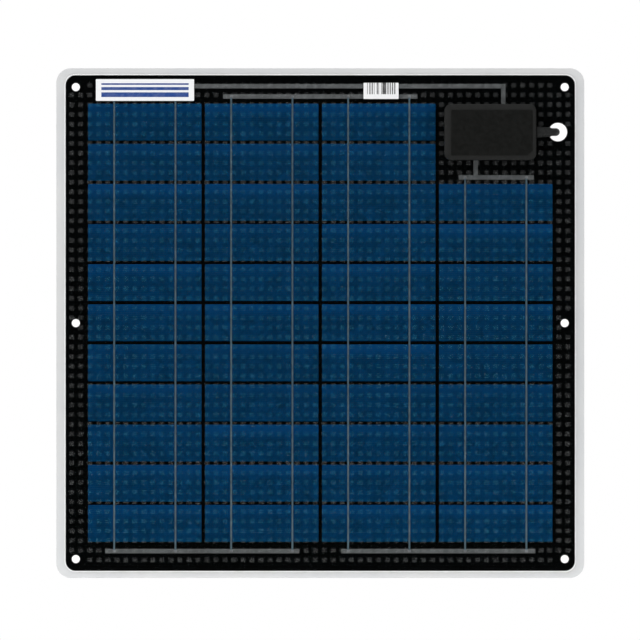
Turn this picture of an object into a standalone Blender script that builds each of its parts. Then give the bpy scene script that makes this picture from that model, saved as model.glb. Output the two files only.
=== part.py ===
"""Walk-on solar panel with 42 cut cells in series on a white carrier plate.

The panel stands upright: width along X, height along Z, front face towards -Y. The origin is
the centre of the carrier plate's rear face, so a depth in front of that face is a negative y.
The junction box sits at the upper right of the front. Its lead bends into a hole beside it,
comes out behind the plate and hangs there in a tied coil.
"""

import math

import bmesh
import bpy
from mathutils import Matrix, Vector

# Clearance between two pieces that touch on the real panel
GAP = 0.0003
# Length by which a cutter runs past the material it cuts
OVERSHOOT = 0.002

# Carrier plate
PLATE_WIDTH = 0.580
PLATE_HEIGHT = 0.560
PLATE_CORNER = 0.016

# Laminate, as layers from the rear to the front, each with its thickness
LAMINATE_WIDTH = 0.559
LAMINATE_HEIGHT = 0.544
LAMINATE_CORNER = 0.0105
ENCAPSULANT_MARGIN = 0.0012
LAYER_THICKNESS = {
    "carrier_plate": 0.0020,
    "back_sheet": 0.0003,
    "rear_encapsulant": 0.0004,
    "cells": 0.0003,
    "front_encapsulant": 0.0004,
    "front_sheet": 0.0004,
}
SEAL_WIDTH = 0.0013
SEAL_HEIGHT = 0.0026
CORNER_SEGMENTS = 6

# Holes through the plate and the laminate
MOUNT_HOLE_RADIUS = 0.0045
MOUNT_HOLE_X = 0.2685
MOUNT_HOLE_Z = 0.2592
MOUNT_HOLE_SIDES = 24
CABLE_HOLE_RADIUS = 0.0102
CABLE_HOLE_X = 0.2610
CABLE_HOLE_SIDES = 36

# Cells: 125 mm wafers cut in thirds, in four columns
CELL_WIDTH = 0.1246
CELL_HEIGHT = 0.0404
COLUMN_PITCH = 0.1285
ROW_PITCH = 0.04407
ROWS = 11
ARRAY_CENTRE_Z = 0.00045
ROWS_UNDER_BOX = 2
TAB_WIDTH = 0.0019
TAB_OFFSET = 0.03365
TAB_PROUD = 0.0001

# Bus ribbons, which join the columns and lead to the junction box
BUS_WIDTH = 0.0048
LOWER_BUS_Z = -0.2505
LOWER_BUS_INNER_X = 0.0231
LOWER_BUS_OUTER_X = 0.2362
UPPER_BUS_Z = 0.2489
UPPER_BUS_HALF = 0.1066
POSITIVE_RUN_Z = 0.2602
POSITIVE_RUN_START_X = -0.2365
POSITIVE_X = 0.2010
NEGATIVE_RUN_Z = 0.1600
NEGATIVE_RUN_LEFT_X = 0.1520
NEGATIVE_RUN_RIGHT_X = 0.2346
NEGATIVE_X = 0.1706
LEAF_THICKNESS = 0.0003
SLOT_WIDTH = 0.0064
SLOT_HEIGHT = 0.0020

# Labels on the front sheet
LABEL_THICKNESS = 0.0002
LABEL_CORNER = 0.0010
TYPE_LABEL_CENTRE = (-0.19255, 0.25605)
TYPE_LABEL_SIZE = (0.1079, 0.0239)
CODE_LABEL_CENTRE = (0.06675, 0.2551)
CODE_LABEL_SIZE = (0.0385, 0.0178)

# Junction box. Heights in it are measured from the front sheet's face towards the front.
BOX_X = 0.1867
BOX_Z = 0.2098
BOX_WIDTH = 0.1012
BOX_DEPTH = 0.0616
BOX_CORNER = 0.0075
BOX_WALL = 0.0030
BOX_LIP = 0.0012
PAD_INSET = 0.0020
PAD_THICKNESS = 0.0008
BOX_BOTTOM = 0.0014
BOX_FLOOR = 0.0034
LEDGE_HEIGHT = 0.0170
LIP_HEIGHT = 0.0182
GASKET_WIDTH = 0.0012
LID_BOTTOM = 0.0185
LID_EDGE = 0.0192
LID_TOP = 0.0225
LID_SHOULDER = 0.0056
LID_CEILING = 0.0205
TONGUE_THICKNESS = 0.0012
TONGUE_BOTTOM = 0.0145

# Terminals, diode and cable clamp inside the box
BLOCK_WIDTH = 0.0480
BLOCK_LENGTH = 0.0300
BLOCK_BOTTOM = 0.0037
BLOCK_TOP = 0.0077
BLOCK_CORNER = 0.0015
BAR_WIDTH = 0.0070
BAR_THICKNESS = 0.0008
BAR_LENGTH = 0.0280
RIBBON_RISER_OFFSET = 0.0168
LEAF_LENGTH = 0.0062
LUG_THICKNESS = 0.0008
LUG_RADIUS = 0.0035
BARREL_RADIUS = 0.0020
BARREL_START = 0.0030
BARREL_END = 0.0105
SCREW_RADIUS = 0.0015
SCREW_HOLE_RADIUS = 0.0018
SCREW_HEAD_RADIUS = 0.0029
SCREW_HEAD_HEIGHT = 0.0022
SCREW_SLOT_WIDTH = 0.0007
POSITIVE_LUG_Z = BOX_Z - 0.0008
NEGATIVE_LUG_Z = BOX_Z - 0.0058
DIODE_Z = BOX_Z + 0.0067
DIODE_RADIUS = 0.00265
DIODE_LENGTH = 0.0090
DIODE_WIRE_RADIUS = 0.0006
DIODE_LIFT = 0.0019
DIODE_REACH = 0.0010
CLAMP_X = 0.2250
CLAMP_WIDTH = 0.0080
CLAMP_EAR_SPAN = 0.0240
CLAMP_EAR_THICKNESS = 0.0020
CLAMP_WALL = 0.0018
CLAMP_SCREW_OFFSET = 0.0092
CLAMP_POST_TOP = 0.0064

# Lead: twin-core rubber flex
CABLE_RADIUS = 0.0043
CABLE_HEIGHT = 0.0110
BEND_START_X = 0.2388
BEND_RADIUS = 0.0200
RELIEF_BEND_ANGLE = math.radians(42)
RELIEF_TIP_LENGTH = 0.0008
RELIEF_STEPS = 5
RELIEF_HOLE_RADIUS = 0.0053
RELIEF_TIP_RADIUS = 0.0048
RELIEF_FLARE_RADIUS = 0.0058
RELIEF_NECK_RADIUS = 0.0050
RELIEF_FLANGE_RADIUS = 0.0060
RELIEF_FLANGE_THICKNESS = 0.0017
SHEATH_END_X = 0.2175
CORE_RADIUS = 0.0014
CORE_OFFSET = 0.0019
CORE_POINT_SPACING = 0.0030
CORE_STUB = 0.0010
TUBE_POINT_SPACING = 0.008
FINE_STEPS = 10
FINE_SPACING = 0.0005
CORD_RESOLUTION = 3

# Routes of the inner cores between their ends, as (x, height over the front sheet, z)
POSITIVE_CORE_BEND = (0.2142, CABLE_HEIGHT, 0.2105)
NEGATIVE_CORE_ROUTE = [
    (0.2140, 0.0116, 0.2060),
    (0.2100, 0.0126, 0.2029),
    (0.2050, 0.0132, 0.2012),
    (0.1970, 0.0132, 0.2008),
    (0.1900, 0.0126, 0.2015),
    (0.1855, 0.0116, 0.2030),
]

# Coil: four layers deep and two turns wide, a diameter apart, hanging behind the plate
COIL_X = 0.2240
COIL_Z = 0.0850
COIL_RADIUS = 0.0516
TURN_SPACING = 0.0089
COIL_LAYERS = 4
TURNS_PER_LAYER = 2
COIL_FRONT_Y = 0.0070
COIL_CLEARANCE = 0.0003
COIL_ROUNDING = 0.0030
COIL_STEPS = 36
TIE_ANGLE = math.radians(68)
TIE_WIDTH = 0.0060
TIE_THICKNESS = 0.0010
TIE_CORNER = 0.0020

# Route of the lead from the strain relief's tip to the coil's outermost turn
LEAD_ROUTE = [
    (0.2558, -0.0068, 0.2098),
    (0.2580, -0.0015, 0.2098),
    (0.2588, 0.0040, 0.2098),
    (0.2568, 0.0150, 0.2098),
    (0.2506, 0.0246, 0.2096),
    (0.2410, 0.0308, 0.2083),
    (0.2290, 0.0333, 0.2048),
    (0.2140, 0.0337, 0.1972),
    (0.1985, 0.0337, 0.1848),
    (0.1852, 0.0337, 0.1688),
    (0.1755, 0.0337, 0.1505),
    (0.1699, 0.0337, 0.1310),
    (0.1682, 0.0337, 0.1120),
]
# Route of the free end, from the outermost turn of the front layer down to the sheath's end
END_ROUTE = [
    (0.1680, 0.0070, 0.0850),
    (0.1677, 0.0070, 0.0700),
    (0.1677, 0.0071, 0.0550),
    (0.1681, 0.0073, 0.0400),
    (0.1690, 0.0077, 0.0250),
    (0.1700, 0.0082, 0.0100),
]
END_CORE_LENGTH = 0.028
END_CORE_SPREAD = 0.0042
FERRULE_RADIUS = 0.0011
FERRULE_LENGTH = 0.012
FERRULE_COLLAR_RADIUS = 0.0020
FERRULE_COLLAR_LENGTH = 0.004

# name: (colour, roughness, metallic)
MATERIALS = {
    "white_plate": ((0.69, 0.70, 0.70), 0.45, 0.0),
    "black_sheet": ((0.006, 0.006, 0.006), 0.6, 0.0),
    "clear_resin": ((0.02, 0.02, 0.02), 0.3, 0.0),
    "seal": ((0.75, 0.75, 0.75), 0.5, 0.0),
    "silicon": ((0.003, 0.03, 0.08), 0.3, 0.2),
    "tinned_copper": ((0.16, 0.17, 0.17), 0.4, 0.9),
    "label": ((0.95, 0.95, 0.95), 0.5, 0.0),
    "box_plastic": ((0.02, 0.023, 0.023), 0.55, 0.0),
    "lid_plastic": ((0.011, 0.012, 0.010), 0.7, 0.0),
    "rubber": ((0.028, 0.028, 0.028), 0.7, 0.0),
    "brass": ((0.60, 0.45, 0.18), 0.35, 1.0),
    "steel": ((0.55, 0.55, 0.56), 0.35, 1.0),
    "block_plastic": ((0.30, 0.30, 0.28), 0.6, 0.0),
    "red_core": ((0.45, 0.02, 0.015), 0.5, 0.0),
    "black_core": ((0.015, 0.015, 0.015), 0.5, 0.0),
    "foam": ((0.03, 0.03, 0.03), 0.9, 0.0),
}


# Scene and helpers


def clear_scene():
    for obj in list(bpy.data.objects):
        bpy.data.objects.remove(obj, do_unlink=True)


def new_collection(name):
    collection = bpy.data.collections.new(name)
    bpy.context.scene.collection.children.link(collection)
    return collection


def new_material(name):
    colour, roughness, metallic = MATERIALS[name]
    material = bpy.data.materials.new(name)
    material.use_nodes = True
    shader = material.node_tree.nodes["Principled BSDF"]
    shader.inputs["Base Color"].default_value = (*colour, 1.0)
    shader.inputs["Roughness"].default_value = roughness
    shader.inputs["Metallic"].default_value = metallic
    material.diffuse_color = (*colour, 1.0)
    return material


def add_object(name, data, material=None, location=(0, 0, 0)):
    """A piece of the panel, or a cutter when it has no material."""
    obj = bpy.data.objects.new(name, data)
    obj.location = location
    if material:
        data.materials.append(materials[material])
        parts.objects.link(obj)
    else:
        obj.hide_render = True
        obj.display_type = "WIRE"
        cutters.objects.link(obj)
    return obj


def mesh_from(bm, name):
    mesh = bpy.data.meshes.new(name)
    bm.to_mesh(mesh)
    bm.free()
    return mesh


def box_mesh(name, width, depth, height, corner=0.0, segments=CORNER_SEGMENTS):
    """A box centred on the origin. With corner, its four edges along Y are rounded."""
    bm = bmesh.new()
    bmesh.ops.create_cube(bm, size=1.0)
    bmesh.ops.scale(bm, vec=(width, depth, height), verts=bm.verts)
    if corner:
        along_y = [e for e in bm.edges if abs(e.verts[0].co.y - e.verts[1].co.y) > depth / 2]
        bmesh.ops.bevel(bm, geom=along_y, offset=corner, segments=segments, profile=0.5, affect="EDGES")
    return mesh_from(bm, name)


def slab(name, material, centre, size, back, front, corner=0.0):
    """A flat piece around (x, z), between two depths in front of the plate's rear face."""
    mesh = box_mesh(name, size[0], front - back, size[1], corner)
    location = (centre[0], -(back + front) / 2, centre[1])
    return add_object(name, mesh, material, location)


def cylinder(name, material, centre, radius, length, axis, sides=24):
    """A cylinder along axis, centred on centre."""
    bm = bmesh.new()
    turn = Vector((0, 0, 1)).rotation_difference(Vector(axis)).to_matrix().to_4x4()
    bmesh.ops.create_cone(
        bm, cap_ends=True, segments=sides, radius1=radius, radius2=radius, depth=length, matrix=turn
    )
    mesh = mesh_from(bm, name)
    mesh.shade_smooth()
    mesh.set_sharp_from_angle(angle=math.radians(40))
    return add_object(name, mesh, material, centre)


def combine(obj, other, operation):
    modifier = obj.modifiers.new(other.name, "BOOLEAN")
    modifier.operation = operation
    modifier.solver = "EXACT"
    modifier.object = other


def cut(obj, *others):
    for other in others:
        combine(obj, other, "DIFFERENCE")


def join(obj, *others):
    for other in others:
        combine(obj, other, "UNION")


def turned(name, material, profile, centre, axis, closed=False, sides=24):
    """A turned piece. Its profile is (radius, position along axis), from the axis's far end back."""
    mesh = bpy.data.meshes.new(name)
    edges = [(i, i + 1) for i in range(len(profile) - 1)]
    if closed:
        edges.append((len(profile) - 1, 0))
    mesh.from_pydata([(radius, 0, along) for radius, along in profile], edges, [])
    obj = add_object(name, mesh, material, centre)
    obj.rotation_mode = "QUATERNION"
    obj.rotation_quaternion = Vector((0, 0, 1)).rotation_difference(Vector(axis))
    screw = obj.modifiers.new("turn", "SCREW")
    screw.steps = sides
    screw.render_steps = sides
    screw.use_merge_vertices = True
    screw.merge_threshold = 0.00001
    screw.use_smooth_shade = True
    return obj


def between(a, b, c, d, share):
    """The point at a share of the way from b to c on a Catmull-Rom curve through a, b, c and d."""
    square = 2 * a - 5 * b + 4 * c - d
    cube = 3 * b - a - 3 * c + d
    return (2 * b + (c - a) * share + square * share**2 + cube * share**3) / 2


def smooth_route(route, spacing):
    """Points about spacing apart on a smooth curve through the route's own points."""
    points = [Vector(p) for p in route]
    padded = [2 * points[0] - points[1], *points, 2 * points[-1] - points[-2]]
    fine = []
    for a, b, c, d in zip(padded, padded[1:], padded[2:], padded[3:]):
        fine += [between(a, b, c, d, step / FINE_STEPS) for step in range(FINE_STEPS)]
    fine.append(points[-1])
    lengths = [(q - p).length for p, q in zip(fine, fine[1:])]
    count = max(2, round(sum(lengths) / spacing))
    step = sum(lengths) / count
    sampled = [fine[0]]
    walked = 0.0
    for start, end, length in zip(fine, fine[1:], lengths):
        while len(sampled) < count and walked + length >= step * len(sampled):
            sampled.append(start.lerp(end, (step * len(sampled) - walked) / length))
        walked += length
    sampled.append(fine[-1])
    return sampled


def tube(name, material, points, radius, taper=None):
    """A round tube through the points. With taper, each point has its own radius."""
    curve = bpy.data.curves.new(name, "CURVE")
    curve.dimensions = "3D"
    curve.bevel_depth = radius
    curve.bevel_resolution = CORD_RESOLUTION
    curve.use_fill_caps = True
    spline = curve.splines.new("POLY")
    spline.points.add(len(points) - 1)
    for i, point in enumerate(points):
        spline.points[i].co = (*point, 1.0)
        spline.points[i].radius = taper[i] / radius if taper else 1.0
    return add_object(name, curve, material)


def meshed(obj):
    """The curve object as a mesh object of the same name, with its caps welded on."""
    bpy.context.view_layer.update()
    evaluated = obj.evaluated_get(bpy.context.evaluated_depsgraph_get())
    mesh = bpy.data.meshes.new_from_object(evaluated)
    bm = bmesh.new()
    bm.from_mesh(mesh)
    bmesh.ops.remove_doubles(bm, verts=bm.verts, dist=0.00001)
    bm.to_mesh(mesh)
    bm.free()
    name = obj.name
    matrix = obj.matrix_world.copy()
    bpy.data.objects.remove(obj, do_unlink=True)
    mesh_object = bpy.data.objects.new(name, mesh)
    mesh_object.matrix_world = matrix
    parts.objects.link(mesh_object)
    return mesh_object


# Plate and laminate


def layer_depths():
    """Each layer's back and front depth, with a gap between layers."""
    depths = {}
    depth = 0.0
    for name, thickness in LAYER_THICKNESS.items():
        depths[name] = (depth, depth + thickness)
        depth += thickness + GAP
    return depths


def hole_drill():
    """One cutter for the six mounting holes and the cable hole, through every layer."""
    bm = bmesh.new()
    front = depths["front_sheet"][1]
    length = front + 2 * OVERSHOOT
    places = [
        (side * MOUNT_HOLE_X, row * MOUNT_HOLE_Z, MOUNT_HOLE_RADIUS, MOUNT_HOLE_SIDES)
        for side in (-1, 1)
        for row in (-1, 0, 1)
    ]
    places.append((CABLE_HOLE_X, BOX_Z, CABLE_HOLE_RADIUS, CABLE_HOLE_SIDES))
    for x, z, radius, sides in places:
        place = Matrix.Translation((x, -front / 2, z)) @ Matrix.Rotation(math.pi / 2, 4, "X")
        bmesh.ops.create_cone(
            bm, cap_ends=True, segments=sides, radius1=radius, radius2=radius, depth=length, matrix=place
        )
    return add_object("hole_drill", mesh_from(bm, "hole_drill"))


def ribbon_slots(name, back, front):
    """Cutter for the two slots through which the lead ribbons rise into the box."""
    places = [
        (POSITIVE_X, BOX_Z + RIBBON_RISER_OFFSET),
        (NEGATIVE_X, BOX_Z - RIBBON_RISER_OFFSET),
    ]
    bm = bmesh.new()
    for x, z in places:
        scale = Matrix.Diagonal((SLOT_WIDTH, front - back, SLOT_HEIGHT, 1.0))
        bmesh.ops.create_cube(bm, size=1.0, matrix=Matrix.Translation((x, -(back + front) / 2, z)) @ scale)
    return add_object(name, mesh_from(bm, name))


def build_plate_and_sheets():
    drill = hole_drill()
    size = (PLATE_WIDTH, PLATE_HEIGHT)
    plate = slab("carrier_plate", "white_plate", (0, 0), size, *depths["carrier_plate"], PLATE_CORNER)
    cut(plate, drill)
    slots = ribbon_slots("sheet_slots", depths["cells"][1], depths["front_sheet"][1] + OVERSHOOT)
    sheets = {
        "back_sheet": ("black_sheet", 0.0),
        "rear_encapsulant": ("clear_resin", ENCAPSULANT_MARGIN),
        "front_encapsulant": ("clear_resin", ENCAPSULANT_MARGIN),
        "front_sheet": ("black_sheet", 0.0),
    }
    for name, (material, margin) in sheets.items():
        size = (LAMINATE_WIDTH - 2 * margin, LAMINATE_HEIGHT - 2 * margin)
        sheet = slab(name, material, (0, 0), size, *depths[name], LAMINATE_CORNER - margin)
        cut(sheet, drill)
        if name.startswith("front"):
            cut(sheet, slots)


def build_edge_seal():
    """Bead of sealant round the laminate's edge, on the carrier plate."""
    back = depths["carrier_plate"][1] + GAP
    front = back + SEAL_HEIGHT
    inner = (LAMINATE_WIDTH + 2 * GAP, LAMINATE_HEIGHT + 2 * GAP)
    outer = (inner[0] + 2 * SEAL_WIDTH, inner[1] + 2 * SEAL_WIDTH)
    corner = LAMINATE_CORNER + GAP
    seal = slab("edge_seal", "seal", (0, 0), outer, back, front, corner + SEAL_WIDTH)
    window = slab("edge_seal_window", None, (0, 0), inner, back - OVERSHOOT, front + OVERSHOOT, corner)
    cut(seal, window)


# Cells and ribbons


def row_z(row):
    """The middle of a row of cells, counted from the top."""
    return ARRAY_CENTRE_Z + (ROWS - 1 - 2 * row) / 2 * ROW_PITCH


def boxes_mesh(name, boxes):
    """Boxes given as (x, z, width, height, back, front), in one mesh."""
    bm = bmesh.new()
    for x, z, width, height, back, front in boxes:
        scale = Matrix.Diagonal((width, front - back, height, 1.0))
        bmesh.ops.create_cube(bm, size=1.0, matrix=Matrix.Translation((x, -(back + front) / 2, z)) @ scale)
    return mesh_from(bm, name)


def build_cell_strings():
    """Each column is one soldered string: its cells and the two tabbing ribbons along them."""
    back, front = depths["cells"]
    tops = [
        POSITIVE_RUN_Z,
        UPPER_BUS_Z,
        UPPER_BUS_Z,
        NEGATIVE_RUN_Z,
    ]
    low = LOWER_BUS_Z + BUS_WIDTH / 2 + GAP
    for column, bus_z in enumerate(tops):
        x = (column - 1.5) * COLUMN_PITCH
        first = ROWS_UNDER_BOX if column == len(tops) - 1 else 0
        cells = [(x, row_z(row), CELL_WIDTH, CELL_HEIGHT, back, front) for row in range(first, ROWS)]
        high = bus_z - BUS_WIDTH / 2 - GAP
        tab = ((low + high) / 2, TAB_WIDTH, high - low, back + TAB_PROUD, front + TAB_PROUD)
        tabs = [(x + side * TAB_OFFSET, *tab) for side in (-1, 1)]
        name = f"cell_string_{column + 1}"
        string = add_object(name, boxes_mesh(name, cells), "silicon")
        tab_name = f"tabbing_ribbons_{column + 1}"
        join(string, add_object(tab_name, boxes_mesh(tab_name, tabs)))


def build_bus_ribbons():
    lower_length = LOWER_BUS_OUTER_X - LOWER_BUS_INNER_X
    lower_middle = (LOWER_BUS_OUTER_X + LOWER_BUS_INNER_X) / 2
    ribbons = {
        "bus_ribbon_lower_left": (-lower_middle, LOWER_BUS_Z, lower_length),
        "bus_ribbon_lower_right": (lower_middle, LOWER_BUS_Z, lower_length),
        "bus_ribbon_upper": (0, UPPER_BUS_Z, 2 * UPPER_BUS_HALF),
    }
    for name, (x, z, length) in ribbons.items():
        slab(name, "tinned_copper", (x, z), (length, BUS_WIDTH), *depths["cells"])


def build_lead_ribbon(name, x, run_z, run_ends, riser_z):
    """A bus run, the ribbon from it to the box, its riser and the leaf that lies on a terminal bar."""
    back, front = depths["cells"]
    towards = math.copysign(1, riser_z - run_z)
    run_size = (run_ends[1] - run_ends[0], BUS_WIDTH)
    run = slab(name, "tinned_copper", (sum(run_ends) / 2, run_z), run_size, back, front)
    start = run_z - towards * BUS_WIDTH / 2
    end = riser_z + towards * LEAF_THICKNESS / 2
    ribbon = slab(f"{name}_drop", None, (x, (start + end) / 2), (BUS_WIDTH, abs(end - start)), back, front)
    leaf_back = face + BLOCK_TOP + GAP + BAR_THICKNESS + GAP
    leaf_front = leaf_back + LEAF_THICKNESS
    riser = slab(f"{name}_riser", None, (x, riser_z), (BUS_WIDTH, LEAF_THICKNESS), back, leaf_front)
    leaf_z = riser_z + towards * (LEAF_LENGTH - LEAF_THICKNESS) / 2
    leaf = slab(f"{name}_leaf", None, (x, leaf_z), (BUS_WIDTH, LEAF_LENGTH), leaf_back, leaf_front)
    join(run, ribbon, riser, leaf)


def build_labels():
    back = face + GAP
    front = back + LABEL_THICKNESS
    slab("type_label", "label", TYPE_LABEL_CENTRE, TYPE_LABEL_SIZE, back, front, LABEL_CORNER)
    slab("code_label", "label", CODE_LABEL_CENTRE, CODE_LABEL_SIZE, back, front, LABEL_CORNER)


# Junction box


def box_slab(name, material, inset, low, high):
    """A slab of the box's outline, inset on all sides, between two heights over the front sheet."""
    size = (BOX_WIDTH - 2 * inset, BOX_DEPTH - 2 * inset)
    return slab(name, material, (BOX_X, BOX_Z), size, face + low, face + high, BOX_CORNER - inset)


def build_box_base():
    pad = box_slab("box_adhesive_pad", "foam", PAD_INSET, GAP, GAP + PAD_THICKNESS)
    cut(pad, ribbon_slots("pad_slots", face - OVERSHOOT, face + BOX_BOTTOM))
    base = box_slab("box_base", "box_plastic", 0.0, BOX_BOTTOM, LIP_HEIGHT)
    cavity = box_slab("box_cavity", None, BOX_WALL, BOX_FLOOR, LIP_HEIGHT + OVERSHOOT)
    rebate = box_slab("box_rebate", None, BOX_LIP, LEDGE_HEIGHT, LIP_HEIGHT + OVERSHOOT)
    post = slab(
        "clamp_post",
        None,
        (CLAMP_X, BOX_Z),
        (CLAMP_WIDTH, CLAMP_EAR_SPAN),
        face + BOX_FLOOR - OVERSHOOT / 2,
        face + CLAMP_POST_TOP,
    )
    cut(base, cavity, rebate)
    join(base, post)
    wall = along_front(BOX_X + BOX_WIDTH / 2 - BOX_WALL / 2, CABLE_HEIGHT, BOX_Z)
    cut(base, cylinder("relief_hole", None, wall, RELIEF_HOLE_RADIUS, 3 * BOX_WALL, (1, 0, 0)))
    for side in (-1, 1):
        centre = (CLAMP_X, -(face + CLAMP_POST_TOP), BOX_Z + side * CLAMP_SCREW_OFFSET)
        depth = 2 * (CLAMP_POST_TOP - BOX_FLOOR)
        cut(base, cylinder(f"clamp_tap_{side}", None, centre, SCREW_HOLE_RADIUS, depth, (0, 1, 0), 12))
    cut(base, ribbon_slots("base_slots", face, face + BOX_FLOOR + OVERSHOOT))


def build_box_lid():
    """Lid with a sloping shoulder, over a tongue that snaps inside the base's walls."""
    lid = box_slab("box_lid", "lid_plastic", 0.0, LID_BOTTOM, LID_EDGE)
    bm = bmesh.new()
    bm.from_mesh(lid.data)
    outer_face = min(bm.faces, key=lambda f: f.calc_center_median().y)
    top = bmesh.ops.extrude_face_region(bm, geom=[outer_face])
    verts = [v for v in top["geom"] if isinstance(v, bmesh.types.BMVert)]
    bmesh.ops.delete(bm, geom=[outer_face], context="FACES_ONLY")
    shrink = (1 - 2 * LID_SHOULDER / BOX_WIDTH, 1, 1 - 2 * LID_SHOULDER / BOX_DEPTH)
    bmesh.ops.scale(bm, vec=shrink, verts=verts)
    bmesh.ops.translate(bm, vec=(0, -(LID_TOP - LID_EDGE), 0), verts=verts)
    bm.to_mesh(lid.data)
    bm.free()
    tongue_inset = BOX_WALL + GAP
    tongue = box_slab("lid_tongue", None, tongue_inset, TONGUE_BOTTOM, LID_BOTTOM + GAP)
    hollow_inset = tongue_inset + TONGUE_THICKNESS
    hollow = box_slab("lid_hollow", None, hollow_inset, TONGUE_BOTTOM - OVERSHOOT, LID_CEILING)
    notch_x = BOX_X + BOX_WIDTH / 2 - hollow_inset
    notch = slab(
        "tongue_notch",
        None,
        (notch_x, BOX_Z),
        (2 * OVERSHOOT, 2 * RELIEF_FLANGE_RADIUS + 2 * OVERSHOOT),
        face + TONGUE_BOTTOM - OVERSHOOT,
        face + LID_BOTTOM,
    )
    join(lid, tongue)
    cut(lid, hollow, notch)


def build_lid_gasket():
    inset = BOX_LIP + GAP
    gasket = box_slab("lid_gasket", "rubber", inset, LEDGE_HEIGHT + GAP, LIP_HEIGHT)
    low = LEDGE_HEIGHT - OVERSHOOT
    high = LIP_HEIGHT + OVERSHOOT
    cut(gasket, box_slab("gasket_window", None, inset + GASKET_WIDTH, low, high))


# Inside the box


def along_front(x, height, z):
    """A point in the box, by its height over the front sheet."""
    return (x, -(face + height), z)


def build_screw(name, x, z, seat, tip):
    """Pan-head screw with its head on the seat height and its tip towards the plate."""
    profile = [
        (0, SCREW_HEAD_HEIGHT),
        (SCREW_HEAD_RADIUS * 0.75, SCREW_HEAD_HEIGHT),
        (SCREW_HEAD_RADIUS, SCREW_HEAD_HEIGHT * 0.6),
        (SCREW_HEAD_RADIUS, 0),
        (SCREW_RADIUS, 0),
        (SCREW_RADIUS, tip - seat + SCREW_RADIUS / 2),
        (SCREW_RADIUS / 2, tip - seat),
        (0, tip - seat),
    ]
    screw = turned(name, "steel", profile, along_front(x, seat, z), (0, -1, 0), sides=16)
    cross = SCREW_HEAD_RADIUS * 1.1
    slot_depth = SCREW_HEAD_HEIGHT * 0.45
    slot = add_object(f"{name}_slot", box_mesh(f"{name}_slot", cross, 2 * slot_depth, SCREW_SLOT_WIDTH))
    slot.location = along_front(x, seat + SCREW_HEAD_HEIGHT, z)
    cut(screw, slot)


def build_lug(name, x, z):
    """Ring lug under a terminal screw, with its crimped barrel towards the cable."""
    bottom = BLOCK_TOP + GAP + BAR_THICKNESS + GAP
    centre = along_front(x, bottom + LUG_THICKNESS / 2, z)
    ring = cylinder(name, "tinned_copper", centre, LUG_RADIUS, LUG_THICKNESS, (0, -1, 0), 20)
    middle = (BARREL_START + BARREL_END) / 2
    barrel = cylinder(
        f"{name}_barrel",
        None,
        along_front(x + middle, bottom + BARREL_RADIUS, z),
        BARREL_RADIUS,
        BARREL_END - BARREL_START,
        (1, 0, 0),
        12,
    )
    join(ring, barrel)
    cut(ring, cylinder(f"{name}_hole", None, centre, SCREW_HOLE_RADIUS, 4 * LUG_THICKNESS, (0, 1, 0), 12))


def build_terminals():
    """Terminal block with a bar for each pole, its screw and the core's lug."""
    block_x = (POSITIVE_X + NEGATIVE_X) / 2
    block = slab(
        "terminal_block",
        "block_plastic",
        (block_x, BOX_Z),
        (BLOCK_WIDTH, BLOCK_LENGTH),
        face + BLOCK_BOTTOM,
        face + BLOCK_TOP,
        BLOCK_CORNER,
    )
    poles = {
        "positive": (POSITIVE_X, POSITIVE_LUG_Z),
        "negative": (NEGATIVE_X, NEGATIVE_LUG_Z),
    }
    bar_bottom = BLOCK_TOP + GAP
    bar_top = bar_bottom + BAR_THICKNESS
    for pole, (x, z) in poles.items():
        seat_point = along_front(x, BLOCK_TOP, z)
        tap = cylinder(f"{pole}_tap", None, seat_point, SCREW_HOLE_RADIUS, 4 * BLOCK_TOP, (0, 1, 0), 12)
        size = (BAR_WIDTH, BAR_LENGTH)
        bar = slab(f"terminal_bar_{pole}", "brass", (x, BOX_Z), size, face + bar_bottom, face + bar_top)
        cut(bar, tap)
        cut(block, tap)
        build_lug(f"lug_{pole}", x, z)
        seat = bar_top + GAP + LUG_THICKNESS + GAP
        build_screw(f"terminal_screw_{pole}", x, z, seat, BLOCK_BOTTOM + GAP)


def build_diode():
    """Axial bypass diode, its wires soldered to both bars."""
    low = BLOCK_TOP + GAP + BAR_THICKNESS + GAP + DIODE_WIRE_RADIUS
    high = low + DIODE_LIFT
    route = [
        (NEGATIVE_X - DIODE_REACH, low),
        (NEGATIVE_X + 3 * DIODE_REACH, low),
        (NEGATIVE_X + 6 * DIODE_REACH, high),
        (POSITIVE_X - 6 * DIODE_REACH, high),
        (POSITIVE_X - 3 * DIODE_REACH, low),
        (POSITIVE_X + DIODE_REACH, low),
    ]
    points = [along_front(x, height, DIODE_Z) for x, height in route]
    wire = tube("bypass_diode", "black_core", points, DIODE_WIRE_RADIUS)
    centre = along_front((POSITIVE_X + NEGATIVE_X) / 2, high, DIODE_Z)
    join(meshed(wire), cylinder("diode_body", None, centre, DIODE_RADIUS, DIODE_LENGTH, (1, 0, 0), 20))


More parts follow.
